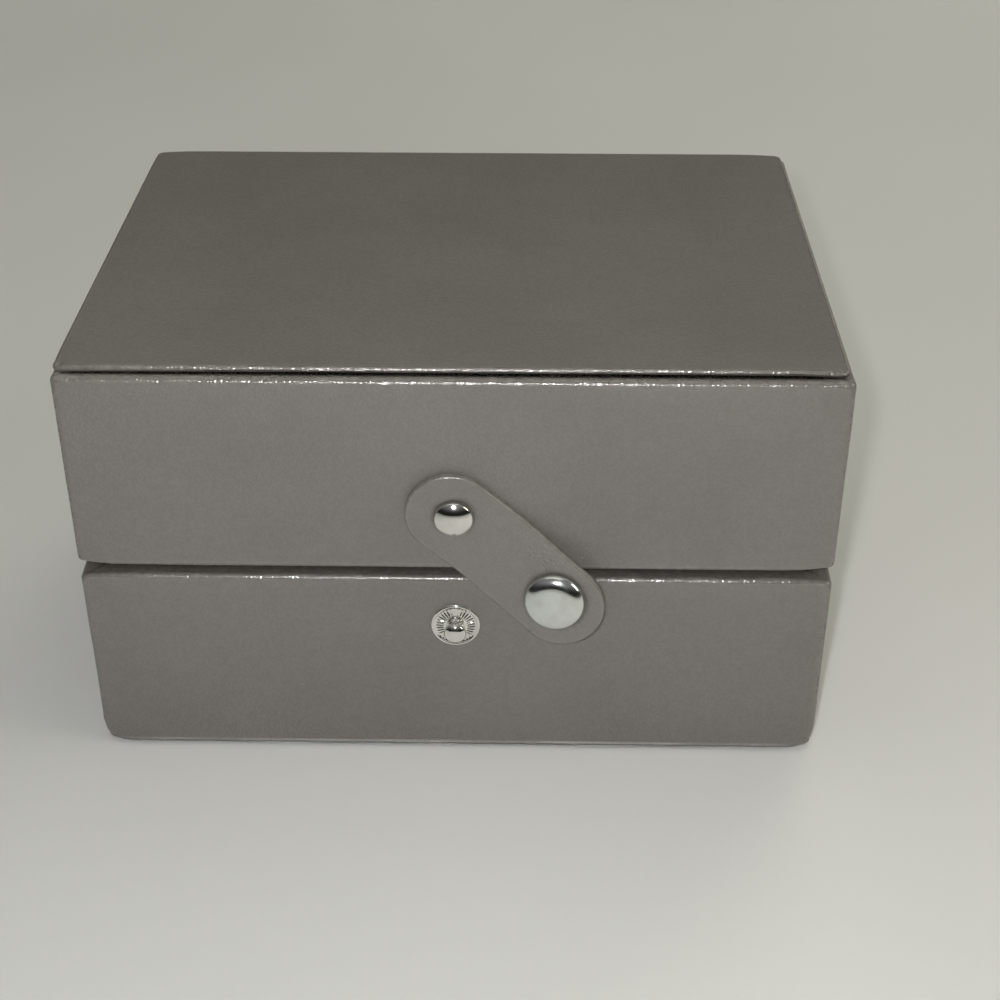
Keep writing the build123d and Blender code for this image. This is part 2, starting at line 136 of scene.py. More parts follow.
def add_lights():
    neutral = (1.0, 0.985, 0.96)
    warm = (1.0, 0.985, 0.82)
    middle = (0, 0, 0.045)
    # The main light stands just beside the lens; a second share of it is only seen as shine
    beside_lens = (-0.004, -0.347, 0.258)
    add_area("key", beside_lens, middle, neutral, size=0.012, power=0.69)
    add_area("key_shine", beside_lens, middle, neutral, size=0.012, power=0.80, diffuse=False)
    add_area("overhead", (-0.2, 0.1, 3.0), (0, 0, 0), warm, size=2.8, power=12.4)
    add_area("back_fill", (1.0, 2.2, 0.66), middle, warm, size=1.4, power=25.6, glossy=False)
    add_area("side_fill", (0.8, -0.25, 0.5), middle, warm, size=0.4, power=1.7)
    add_area("backdrop", (0.1, 0.75, 1.1), (0.1, 0.8, 0), warm, size=1.0, power=1.05, glossy=False)
    # Light that the table in front throws back up, and what of it shows in the metal
    over_table, up = (-0.02, -0.34, 0.003), (-0.02, -0.34, 1.0)
    add_area("table_bounce", over_table, up, neutral, size=0.5, power=0.16, glossy=False)
    add_area("table_shine", over_table, up, neutral, size=0.5, power=0.30, diffuse=False)


def add_room():
    """A room dark near the horizon, paler towards its ceiling, and pale where one looks past the floor."""
    past_floor = (0.62, 0.61, 0.58, 1)
    rise = {"From Min": 0.15, "From Max": 0.65, "To Min": 0.012, "To Max": 0.16}
    world = bpy.data.worlds.new("studio")
    bpy.context.scene.world = world
    world.use_nodes = True
    tree = world.node_tree
    background = tree.nodes["Background"]
    direction = tree.nodes.new("ShaderNodeTexCoord")
    split = tree.nodes.new("ShaderNodeSeparateXYZ")
    tree.links.new(direction.outputs["Generated"], split.inputs["Vector"])
    height = tree.nodes.new("ShaderNodeMapRange")
    height.interpolation_type = "SMOOTHSTEP"
    for key, value in rise.items():
        height.inputs[key].default_value = value
    tree.links.new(split.outputs["Z"], height.inputs["Value"])
    rays = tree.nodes.new("ShaderNodeLightPath")
    tint = tree.nodes.new("ShaderNodeMix")
    tint.data_type = "RGBA"
    tint.inputs["B"].default_value = past_floor
    tree.links.new(height.outputs["Result"], tint.inputs["A"])
    tree.links.new(rays.outputs["Is Camera Ray"], tint.inputs["Factor"])
    tree.links.new(tint.outputs["Result"], background.inputs["Color"])


# Materials

class Shader:
    """A material's node tree, with short calls for adding and joining nodes."""

    def __init__(self, name):
        self.material = bpy.data.materials.new(name)
        self.material.use_nodes = True
        self.tree = self.material.node_tree
        self.surface = self.tree.nodes["Principled BSDF"]

    def add(self, kind, inputs=None, **settings):
        """One node; inputs are values or other nodes' outputs, by socket name."""
        made = self.tree.nodes.new("ShaderNode" + kind)
        for key, value in settings.items():
            setattr(made, key, value)
        for key, value in (inputs or {}).items():
            self.put(made.inputs[key], value)
        return made

    def put(self, socket, value):
        if isinstance(value, bpy.types.NodeSocket):
            self.tree.links.new(value, socket)
        else:
            socket.default_value = value

    def place(self):
        return self.add("TexCoord").outputs["Object"]

    def noise(self, where, size, detail=2.0, rough=0.5):
        """Noise whose features are about size millimetres across."""
        made = self.add(
            "TexNoise",
            {"Vector": where, "Scale": 1 / (size * MM), "Detail": detail, "Roughness": rough},
        )
        return made.outputs["Fac"]

    def stretched(self, where, scale):
        return self.add("Mapping", {"Vector": where, "Scale": scale}).outputs["Vector"]

    def cells(self, where, size):
        """Distance from the middle of a cell, of cells about size millimetres across."""
        made = self.add("TexVoronoi", {"Vector": where, "Scale": 1 / (size * MM)})
        return made.outputs["Distance"]

    def ramp(self, value, low, high, to_low=0.0, to_high=1.0):
        """Carry a value from one range over to another, eased at both ends."""
        made = self.add(
            "MapRange",
            {"Value": value, "From Min": low, "From Max": high, "To Min": to_low, "To Max": to_high},
            interpolation_type="SMOOTHSTEP",
        )
        return made.outputs["Result"]

    def math(self, operation, a, b=0.0):
        made = self.add("Math", operation=operation)
        self.put(made.inputs[0], a)
        self.put(made.inputs[1], b)
        return made.outputs["Value"]

    def mix(self, factor, a, b, blend="MIX"):
        made = self.add("Mix", {"Factor": factor}, data_type="RGBA", blend_type=blend)
        colours = [socket for socket in made.inputs if socket.type == "RGBA"]
        self.put(colours[0], a)
        self.put(colours[1], b)
        return made.outputs[2]

    def bump(self, height, depth, normal=None):
        """Bump whose full height is depth millimetres."""
        inputs = {"Height": height, "Distance": depth * MM}
        if normal is not None:
            inputs["Normal"] = normal
        return self.add("Bump", inputs).outputs["Normal"]

    def attribute(self, name):
        return self.add("Attribute", attribute_name=name).outputs["Fac"]

    def finish(self, **sockets):
        """Set the surface's own sockets; an underscore stands for a space."""
        for key, value in sockets.items():
            self.put(self.surface.inputs[key.replace("_", " ")], value)
        return self.material


def rgb(red, green, blue):
    return (red, green, blue, 1.0)


TAUPE_LIGHT = rgb(0.181, 0.1675, 0.157)
TAUPE_DARK = rgb(0.1665, 0.154, 0.1425)
TAUPE_WORN = rgb(0.30, 0.282, 0.262)


def leather(name, grain, depth):
    """Imitation leather with a pebbled grain of that size and depth in millimetres.

    Attributes on the mesh mark where it is worn and polished, where painted shade darkens it in gaps, slits
    and folds, or where it is puckered. Heights here are shares of the depth.
    """
    pore_height, pucker_height = 0.35, 22.0
    first_wear, full_wear = 0.1, 0.7
    rim_grain, rim_polish = 0.05, 0.385
    bead_size, bead_height = 0.47, 2.9
    s = Shader(name)
    where = s.place()
    sway = s.add("TexNoise", {"Vector": where, "Scale": 1 / (3 * grain * MM), "Detail": 1.0})
    swayed = s.add("VectorMath", {"Scale": 1.1 * grain * MM}, operation="SCALE")
    s.put(swayed.inputs[0], sway.outputs["Color"])
    bent = s.add("VectorMath", operation="ADD")
    s.put(bent.inputs[0], where)
    s.put(bent.inputs[1], swayed.outputs["Vector"])
    domes = s.ramp(s.cells(bent.outputs["Vector"], grain), 0.12, 0.72, 1.0, 0.0)
    pores = s.noise(where, grain / 4, 3.0, 0.6)
    height = s.math("ADD", domes, s.math("MULTIPLY", pores, pore_height))
    # Where the leather turns over an edge its grain is polished into smooth beads
    wear = s.attribute("wear")
    height = s.math("MULTIPLY", height, s.ramp(wear, 0.0, full_wear, 1.0, rim_grain))
    raised = s.ramp(wear, first_wear, full_wear, 0.0, bead_height)
    beads = s.math("MULTIPLY", s.noise(where, bead_size, 0.0), raised)
    height = s.math("ADD", height, beads)
    # In a pucker it is deeply wrinkled
    wrinkles = s.math("MULTIPLY", s.noise(where, 1.4 * grain, 2.0, 0.6), s.attribute("pucker"))
    height = s.math("ADD", height, s.math("MULTIPLY", wrinkles, pucker_height))
    patches = s.ramp(s.noise(where, 38, 4.0, 0.55), 0.34, 0.66)
    flecks = s.noise(where, 2.4, 3.0, 0.7)
    colour = s.mix(patches, TAUPE_DARK, TAUPE_LIGHT)
    colour = s.mix(s.ramp(flecks, 0.3, 0.7, 0.0, 0.3), colour, rgb(0.80, 0.79, 0.78), "MULTIPLY")
    creased = s.ramp(domes, 0.0, 0.55, 0.10, 0.0)
    colour = s.mix(creased, colour, rgb(0.25, 0.24, 0.23), "MULTIPLY")
    rubbed = s.math("MULTIPLY", wear, s.ramp(s.noise(where, 1.6, 3.0, 0.65), 0.35, 0.7, 0.0, 0.4))
    colour = s.mix(rubbed, colour, TAUPE_WORN)
    # Painted shade: darker in the gap between the halves, in the slit under the top panel, along the foot
    # and in lines round the strap's caps
    colour = s.mix(s.attribute("soil"), colour, rgb(0.40, 0.37, 0.35), "MULTIPLY")
    # A little dust: small pale specks, a few to each palm's width
    specks = s.ramp(s.cells(where, 11.0), 0.010, 0.016, 1.0, 0.0)
    colour = s.mix(s.math("MULTIPLY", specks, 0.55), colour, rgb(0.55, 0.54, 0.50))
    rough = s.ramp(s.noise(where, 14, 3.0), 0.3, 0.7, 0.57, 0.63)
    rough = s.math("SUBTRACT", rough, s.math("MULTIPLY", domes, 0.05))
    rough = s.math("SUBTRACT", rough, s.ramp(wear, first_wear, full_wear, 0.0, rim_polish))
    return s.finish(
        Base_Color=colour, Roughness=rough, Specular_IOR_Level=0.85, Normal=s.bump(height, depth)
    )


def velvet(name):
    """Short pile with brushed patches."""
    light, dark = rgb(0.300, 0.280, 0.262), rgb(0.215, 0.198, 0.184)
    s = Shader(name)
    where = s.place()
    nap = s.noise(s.stretched(where, (1.0, 0.45, 0.7)), 13, 3.0, 0.55)
    pile = s.noise(where, 0.35, 2.0, 0.7)
    colour = s.mix(s.ramp(nap, 0.36, 0.64), dark, light)
    colour = s.mix(s.ramp(pile, 0.3, 0.7, 0.35, 0.0), colour, rgb(0.55, 0.54, 0.54), "MULTIPLY")
    rolling = s.bump(nap, 0.25)
    return s.finish(
        Base_Color=colour, Roughness=s.ramp(nap, 0.3, 0.7, 0.82, 0.95), Sheen_Weight=0.55,
        Sheen_Roughness=0.32, Sheen_Tint=rgb(0.85, 0.81, 0.77), Specular_IOR_Level=0.15,
        Normal=s.bump(pile, 0.09, rolling),
    )


def plated(name, tint, low, high, streak=(1.0, 1.0, 1.0)):
    """Plated metal with smudges, which take its roughness from low to high, and fine marks.

    Streak stretches the marks.
    """
    s = Shader(name)
    where = s.place()
    smudge = s.noise(where, 3.2, 4.0, 0.6)
    marks = s.noise(s.stretched(where, streak), 0.5, 2.0, 0.6)
    colour = s.mix(s.ramp(smudge, 0.35, 0.75, 0.0, 0.35), tint, rgb(0.70, 0.68, 0.64), "MULTIPLY")
    return s.finish(
        Base_Color=colour, Metallic=1.0, Roughness=s.ramp(smudge, 0.3, 0.75, low, high),
        Normal=s.bump(marks, 0.006),
    )


def greyboard(name):
    """Pressed grey card with fibres."""
    s = Shader(name)
    where = s.place()
    fibres = s.noise(s.stretched(where, (1.0, 0.3, 1.0)), 0.8, 4.0, 0.7)
    colour = s.mix(s.ramp(fibres, 0.35, 0.65), rgb(0.24, 0.23, 0.21), rgb(0.36, 0.35, 0.32))
    return s.finish(Base_Color=colour, Roughness=0.92, Normal=s.bump(fibres, 0.06))


def woven_ribbon(name):
    """Grosgrain: fine ribs across the ribbon's length."""
    s = Shader(name)
    where = s.place()
    ribs = s.add(
        "TexWave", {"Vector": where, "Scale": 0.32 / (0.7 * MM), "Distortion": 0.4, "Detail": 1.0},
        bands_direction="Z",
    ).outputs["Fac"]
    yarn = s.noise(s.stretched(where, (1.0, 1.0, 5.0)), 0.5, 2.0)
    colour = s.mix(s.ramp(ribs, 0.1, 0.9), rgb(0.115, 0.105, 0.098), rgb(0.225, 0.208, 0.192))
    colour = s.mix(s.ramp(yarn, 0.3, 0.7, 0.3, 0.0), colour, rgb(0.6, 0.6, 0.6), "MULTIPLY")
    return s.finish(
        Base_Color=colour, Roughness=0.55, Sheen_Weight=0.3, Sheen_Roughness=0.4,
        Normal=s.bump(ribs, 0.12),
    )


def tabletop(name):
    """A pale, nearly plain table."""
    s = Shader(name)
    where = s.place()
    cloud = s.noise(where, 260, 3.0, 0.5)
    colour = s.mix(s.ramp(cloud, 0.3, 0.7), rgb(0.735, 0.735, 0.73), rgb(0.765, 0.765, 0.765))
    return s.finish(
        Base_Color=colour, Roughness=s.ramp(cloud, 0.3, 0.7, 0.52, 0.6), Specular_IOR_Level=0.3,
        Normal=s.bump(s.noise(where, 1.2, 3.0), 0.01),
    )


LEATHER = leather("taupe_leather", 0.58, 0.042)
STRAP_LEATHER = leather("strap_leather", 0.42, 0.024)
VELVET = velvet("grey_velvet")
NICKEL = plated("bright_nickel", rgb(0.95, 0.94, 0.91), 0.04, 0.11)
SATIN_NICKEL = plated("satin_nickel", rgb(0.84, 0.87, 0.86), 0.10, 0.20)
HINGE_METAL = plated("nickel_steel", rgb(0.74, 0.725, 0.70), 0.22, 0.34, (0.08, 1.0, 1.0))
BOARD = greyboard("greyboard")
RIBBON = woven_ribbon("ribbon")
TABLE = tabletop("table")


# Numbers

def bell(distance, reach):
    """1 at no distance, fading out over that reach."""
    return exp(-((distance / reach) ** 2))


def clamped(share):
    return min(1.0, max(0.0, share))


def sign(value):
    return 1 if value > 0 else -1


def wave(point, size, seed):
    """Smooth noise between about -1 and 1, with features of that size in millimetres."""
    return noise.noise(Vector(point) / size + Vector((seed, seed, seed)))


def levels(low, high, step):
    """Even places between low and high, without the two, about a step apart."""
    count = ceil((high - low) / step)
    return [low + (high - low) * i / count for i in range(1, count)]


def arc_points(centre, radius, start, end, steps):
    """Points on an arc in the profile's plane, angles in degrees."""
    angles = [radians(start + (end - start) * i / steps) for i in range(steps + 1)]
    return [(centre[0] + radius * cos(a), centre[1] + radius * sin(a)) for a in angles]


def cad_box(node):
    """The low and high corners of a CAD node's box, in millimetres."""
    return (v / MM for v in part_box(node))


# Objects

def add_object(name, bm, unit=MM):
    """Turn a mesh into an object, each of its millimetres becoming unit metres."""
    bmesh.ops.scale(bm, vec=(unit, unit, unit), verts=bm.verts)
    mesh = bpy.data.meshes.new(name)
    bm.to_mesh(mesh)
    bm.free()
    made = bpy.data.objects.new(name, mesh)
    bpy.context.collection.objects.link(made)
    return made


def remove_object(unwanted):
    mesh = unwanted.data
    bpy.data.objects.remove(unwanted)
    bpy.data.meshes.remove(mesh)


def make_piece(name, bm, material, body, slot=None, nodes=(), **marks):
    """Turn a mesh in millimetres into a smooth piece that rides on a body in place of CAD nodes.

    Each mark is a function of a point and becomes an attribute that the material reads.
    """
    weld = 0.0005
    bmesh.ops.remove_doubles(bm, verts=bm.verts, dist=weld)
    bmesh.ops.recalc_face_normals(bm, faces=bm.faces)
    values = {key: [mark(v.co) for v in bm.verts] for key, mark in marks.items()}
    piece = add_object(name, bm)
    for key, numbers in values.items():
        piece.data.attributes.new(key, "FLOAT", "POINT").data.foreach_set("value", numbers)
    piece.data.materials.append(material)
    piece.data.shade_smooth()
    if body:
        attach(piece, body)
    if nodes:
        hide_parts(*nodes)
    return piece


def bake(piece):
    """Apply a piece's modifiers to its mesh."""
    bpy.context.view_layer.update()
    result = piece.evaluated_get(bpy.context.evaluated_depsgraph_get())
    baked = bpy.data.meshes.new_from_object(result)
    piece.modifiers.clear()
    old = piece.data
    piece.data = baked
    baked.name = old.name
    bpy.data.meshes.remove(old)


def cut_away(piece, bm):
    """Cut a closed mesh, in millimetres, out of a piece."""
    bmesh.ops.recalc_face_normals(bm, faces=bm.faces)
    cutter = add_object("cutter", bm)
    modifier = piece.modifiers.new("cut", "BOOLEAN")
    modifier.object = cutter
    modifier.operation = "DIFFERENCE"
    modifier.solver = "EXACT"
    bake(piece)
    remove_object(cutter)


def swollen(bm, voxel, pressure, low, high, held):
    """Swell a pad, in millimetres, with Blender's Cloth, and keep it inside the box from low to high.

    It runs at ten times the size, where the cloth's own settings suit a cushion. Points for which held
    is true are glued down.
    """
    unit = 10 * MM
    moments = 20
    pad = add_object("pad", bm, unit)
    remesh = pad.modifiers.new("remesh", "REMESH")
    remesh.mode = "VOXEL"
    remesh.voxel_size = voxel * unit
    bake(pad)
    group = pad.vertex_groups.new(name="held")
    group.add([v.index for v in pad.data.vertices if held(v.co / unit)], 1.0, "REPLACE")
    cloth = pad.modifiers.new("cloth", "CLOTH")
    cloth.settings.use_pressure = True
    cloth.settings.uniform_pressure_force = pressure
    cloth.settings.effector_weights.gravity = 0
    cloth.settings.vertex_group_mass = group.name
    cloth.collision_settings.use_collision = False
    for moment in range(1, moments + 1):
        bpy.context.scene.frame_set(moment)
    bake(pad)
    bpy.context.scene.frame_set(1)
    pad.modifiers.new("smooth", "SUBSURF").levels = 1
    bake(pad)
    grown = bmesh.new()
    grown.from_mesh(pad.data)
    for v in grown.verts:
        v.co = Vector([min(max(c / unit, a), b) for c, a, b in zip(v.co, low, high)])
    remove_object(pad)
    return grown


# Meshes

def join_loops(bm, loops):
    """Faces between each closed loop of points and the next."""
    for lower, upper in zip(loops, loops[1:]):
        for i in range(len(lower)):
            bm.faces.new((lower[i - 1], lower[i], upper[i], upper[i - 1]))


def run_shares(length):
    """Places along a straight run, as shares from -1 to 1, closer together near its ends."""
    half = length / 2
    near = [0.35, 0.9, 1.8, 3.2, 5.2, 8.0]
    widest = 4.0
    count = ceil((half - near[-1]) / widest)
    inner = [near[-1] + (half - near[-1]) * (i + 1) / count for i in range(count)]
    side = [d / half - 1 for d in near + inner if d < half - 0.01]
    return side + [0.0] + [-share for share in reversed(side)]


def loop_round(half_x, half_y, radius, shares_x, shares_y, arc_steps=6):
    """Points round a rounded rectangle, counter-clockwise seen from above, from the front run on."""
    run_x, run_y = half_x - radius, half_y - radius
    arc = [pi / 2 * i / arc_steps for i in range(arc_steps + 1)]
    points = []
    for turn, (run, other, shares) in enumerate(
        ((run_x, run_y, shares_x), (run_y, run_x, shares_y)) * 2
    ):
        spin = Matrix.Rotation(pi / 2 * turn, 2)
        points += [spin @ Vector((share * run, -other - radius)) for share in shares]
        points += [spin @ Vector((run + radius * sin(a), -other - radius * cos(a))) for a in arc]
    return points


def ring_mesh(half_x, half_y, corner, profile, shape):
    """Sweep a closed profile of (inset, height) round a rounded rectangle; shape then moves each point."""
    least_radius = 0.06
    shares_x, shares_y = run_shares(2 * (half_x - corner)), run_shares(2 * (half_y - corner))
    bm = bmesh.new()
    loops = []
    for inset, height in profile:
        radius = max(corner - inset, least_radius)
        points = loop_round(half_x - inset, half_y - inset, radius, shares_x, shares_y)
        loops.append([bm.verts.new(shape(Vector((x, y, height)), inset)) for x, y in points])
    join_loops(bm, loops + loops[:1])
    return bm


def grid_lines(low, high, radius, step, close=()):
    """Places along one side of a rounded box, close together where it rounds and at the close distances."""
    near = [share * radius for share in (0.0, 0.12, 0.3, 0.5, 0.72, 1.0)]
    near += [d for d in close if d < (high - low) / 3]
    inner = levels(low + near[-1], high - near[-1], step)
    return [low + d for d in near] + inner + [high - d for d in reversed(near)]


def rounded_box(low, high, radius, step, shape=lambda point: point, close=()):
    """A box with round edges on an even grid; shape then moves each point."""
    low, high = Vector(low), Vector(high)
    radius = min(radius, *((b - a) * 0.49 for a, b in zip(low, high)))
    lines = [grid_lines(a, b, radius, step, close) for a, b in zip(low, high)]
    last = [len(line) - 1 for line in lines]
    bm = bmesh.new()
    made = {}

    def corner(*index):
        if index not in made:
            point = Vector([line[i] for line, i in zip(lines, index)])
            core = Vector([min(max(p, a + radius), b - radius) for p, a, b in zip(point, low, high)])
            out = point - core
            made[index] = bm.verts.new(shape(core + out.normalized() * radius))
        return made[index]

    for axis in range(3):
        one, two = (axis + 1) % 3, (axis + 2) % 3
        for end in (0, last[axis]):
            for i in range(last[one]):
                for j in range(last[two]):
                    face = []
                    for a, b in ((i, j), (i + 1, j), (i + 1, j + 1), (i, j + 1)):
                        index = [0, 0, 0]
                        index[axis], index[one], index[two] = end, a, b
                        face.append(corner(*index))
                    bm.faces.new(face)
    return bm


def lathe(profile, place, axis, segments=96, ripple=None):
    """Turn a profile of (radius, height) about an axis that starts at place; ripple lifts its points."""
    axis = Vector(axis).normalized()
    side = axis.orthogonal().normalized()
    other = axis.cross(side)
    bm = bmesh.new()
    rings = []
    for radius, height in profile:
        ring = []
        for i in range(segments if radius > 1e-6 else 1):
            angle = 2 * pi * i / segments
            lift = ripple(radius, angle) if ripple else 0.0
            spoke = side * cos(angle) + other * sin(angle)
            ring.append(bm.verts.new(Vector(place) + spoke * radius + axis * (height + lift)))
        rings.append(ring)
    for lower, upper in zip(rings, rings[1:]):
        for i in range(segments):
            corners = [lower[i - 1], lower[i]] if len(lower) > 1 else [lower[0]]
            corners += [upper[i], upper[i - 1]] if len(upper) > 1 else [upper[0]]
            bm.faces.new(corners)
    return bm


# Leather round the walls and on top

# Insets across the groove round the lid's top, each with the share of the groove's depth there
GROOVE_SLOPE = ((1.8, 0.0), (2.0, 0.4), (2.3, 0.9), (3.2, 1.0))
LEDGE = 3.2
FOLD_BAND = 1.8
RIM_STEPS = 8


def corner_nearness(point, reach):
    """1 on the box's four upright corners, fading out over that distance."""
    return bell(hypot(HALF_WIDTH - abs(point.x), HALF_DEPTH - abs(point.y)), reach)


def wrapped_wall(name, node, body, ends, turn_in, rims, curls, seed, groove=0.0, pinch=0.0, ridge=0.0):
    """The skin round one half.

    Rims are the radii of its lower and upper edges, and curls how far those draw in towards its middle
    at the corners. A groove runs round its top, its lower corners are pinched in, and a ridge stands out
    where the skin is folded under at the foot.
    """
    low, high = ends
    low_rim, high_rim = rims
    foot, shoulder = low + low_rim, high - high_rim
    fold_top = foot + FOLD_BAND
    profile = arc_points((low_rim, foot), low_rim, 270, 180, RIM_STEPS)
    profile += [(0.0, z) for z in levels(foot, fold_top, 0.15)]
    profile += [(0.0, z) for z in [fold_top] + levels(fold_top, shoulder, 3.0)]
    profile += arc_points((high_rim, shoulder), high_rim, 180, 90, RIM_STEPS)
    profile += [(inset, high - share * groove) for inset, share in GROOVE_SLOPE]
    profile += [(WALL, high - groove), (WALL, high - SKIN), (SKIN, high - SKIN)]
    profile += [(SKIN, low + SKIN), (turn_in, low + SKIN), (turn_in, low), (LEDGE, low)]
    middle = (low + high) / 2
    calm_depth = 6.0
    outer_band = 1.6

    def shape(point, inset):
        if inset >= SKIN and low + SKIN - 0.01 < point.z < high - SKIN + 0.01:
            return point
        lower = point.z < middle
        depth = point.z - low if lower else high - point.z
        lift = curls[0 if lower else 1] * corner_nearness(point, 4.5) * bell(depth, 4.0)
        # The folded corner of the turned edge lies in a shallow valley
        mitre = abs((HALF_WIDTH - abs(point.x)) - (HALF_DEPTH - abs(point.y)))
        if inset > 1.0 and depth < 0.2:
            lift += 0.18 * bell(mitre, 0.45)
        side = Vector((sign(point.x), sign(point.y), 0))
        push = Vector((0, 0, 0))
        if inset < SKIN:
            swell = 0.13 * wave(point, 34, seed) + 0.05 * wave(point, 9, seed + 7)
            out = swell * min(1.0, depth / calm_depth)
            uneven = 0.75 + 0.5 * wave(point, 6, seed + 5)
            out += ridge * uneven * bell(point.z - foot - 0.25, 0.26)
            push.x = side.x * out * (abs(point.x) > HALF_WIDTH - outer_band)
            push.y = side.y * out * (abs(point.y) > HALF_DEPTH - outer_band)
        push -= side * pinch * corner_nearness(point, 3.2) * bell(point.z - low, 2.4)
        ragged = 0.035 * wave(point, 3.2, seed + 3) * (1 - min(1.0, depth / calm_depth))
        return point + push + Vector((0, 0, (lift if lower else -lift) + ragged))

    def wear(point):
        rim = min(abs(point.z - low), abs(high - point.z))
        return min(1.0, bell(rim, 1.0) + 0.6 * corner_nearness(point, 1.4))

    def soil(point):
        """Painted shade on the rims, more of it deeper in the gap, and along the foot."""
        inset = min(HALF_WIDTH - abs(point.x), HALF_DEPTH - abs(point.y))
        if abs(high - point.z) < SKIN:
            shallow = 0.0 if groove else 0.40 * clamped((inset - 0.3) / 0.5)
            return max(shallow, clamped((inset - 1.9) / 0.5) * (0.9 if groove else 0.7))
        if point.z - low < SKIN:
            return 0.6 * clamped((inset - 0.2) / 0.6)
        return 0.0

    bm = ring_mesh(HALF_WIDTH, HALF_DEPTH, LEATHER_CORNER, profile, shape)
    make_piece(name, bm, LEATHER, body, "taupe_leather", [node], wear=wear, soil=soil)


def lid_panel():
    """The thin wrapped panel on the lid. Its front edge arches a little and its corners are drawn down."""
    low, high = cad_box("lid_top_cover")
    # It sits a little to the left: flush with the wall there, and inside the rim on the right
    left_shift = 0.45
    low.x -= left_shift
    high.x -= left_shift
    plan_radius = 1.6
    edge_radius = 0.72
    close_rows = (0.95, 1.2, 1.5, 1.9, 2.4, 3.2, 4.4)
    middle = (low + high) / 2
    half = (high - low) / 2

    def shape(point):
        p = point - middle
        inner_x, inner_y = half.x - plan_radius, half.y - plan_radius
        in_x, in_y = max(abs(p.x) - inner_x, 0.0), max(abs(p.y) - inner_y, 0.0)
        if in_x > 0 and in_y > 0:
            squeeze = max(in_x, in_y) / hypot(in_x, in_y)
            p.x = (inner_x + in_x * squeeze) * sign(p.x)
            p.y = (inner_y + in_y * squeeze) * sign(p.y)
        edge_in = min(half.x - abs(p.x), half.y - abs(p.y))
        upper = p.z > 0
        from_left, from_right, from_front = p.x + half.x, half.x - p.x, p.y + half.y
        # The gap under the front edge closes over a long way on the left and a short one on the right
        arch = clamped((from_left - 3) / 45) * clamped((from_right - 2) / 6)
        if not upper:
            p.z += 0.28 * arch * exp(-((from_front / 9.0) ** 4))
        away = hypot(half.x - abs(p.x), half.y - abs(p.y))
        p.z -= 0.34 * bell(away, 5.0) * (1.0 if upper else 0.25)
        if upper:
            p.z += 0.10 * wave(p, 42, 3) * min(1.0, edge_in / 8)
            p.z += 0.03 * wave(p, 3.4, 5) * bell(edge_in, 2.0)
            # The leather is gathered into a small pit at each front corner
            gather = hypot(min(from_left, from_right) - 1.3, from_front - 0.9)
            p.z -= 0.30 * bell(gather, 0.5)
            p.z += 0.10 * bell(gather - 1.1, 0.5)
        p.y += 0.12 * wave((p.x, 0, 0), 23, 9) * bell(from_front, 3.0)
        return p + middle

    def wear(point):
        p = point - middle
        edge_in = min(half.x - abs(p.x), half.y - abs(p.y))
        return bell(edge_in, 0.8) if p.z > 0 else 0.0

    def soil(point):
        """Painted shade under the edge, less of it where the slit closes at the left."""
        closing = min(1.0, 0.3 + max(0.0, point.x - low.x) / 16)
        return clamped((middle.z + 0.1 - point.z) / 0.4) * 0.9 * closing

    bm = rounded_box(low, high, edge_radius, 3.0, shape, close_rows)
    make_piece("top_panel_leather", bm, LEATHER, "lid", "taupe_leather", ["lid_top_cover", "lid_top_board"],
               wear=wear, soil=soil)


def bottom_sheet():
    """The leather sheet under the base."""
    low, high = cad_box("base_bottom_sheet")
    bm = rounded_box(low, high, 0.28, 5.0)
    make_piece("bottom_leather", bm, LEATHER, "base", "taupe_leather", ["base_bottom_sheet"])


# Strap and fittings

BEND_HALF = 5.0
BEND_STEPS = 200
PIVOT = Vector((0, FRONT, RIVET_Z))


def bend_table():
    """The strap's line seen edge-on: (along, outward, tilt) at even steps from its head to its tip."""
    table = []
    step = (STRAP_TIP - STRAP_HEAD) / BEND_STEPS
    u, n = STRAP_HEAD, STRAP_STAND_OFF + STRAP_THICK
    for i in range(BEND_STEPS + 1):
        s = STRAP_HEAD + step * i
        t = clamped((s - STRAP_SPLIT + BEND_HALF) / (2 * BEND_HALF))
        tilt = STRAP_TILT * t * t * (3 - 2 * t)
        table.append((u, n, tilt))
        u += step * cos(tilt)
        n += step * sin(tilt)
    return table


BEND = bend_table()


def strap_place(s, t, h):
    """The point at s along the strap, t across it and h out from its outer face."""
    at = (s - STRAP_HEAD) / (STRAP_TIP - STRAP_HEAD) * BEND_STEPS
    i = min(max(int(at), 0), BEND_STEPS - 1)
    part = at - i
    u, n, tilt = (a + (b - a) * part for a, b in zip(BEND[i], BEND[i + 1]))
    u -= h * sin(tilt)
    n += h * cos(tilt)
    return PIVOT + ALONG * u + ACROSS * t + OUTWARD * n


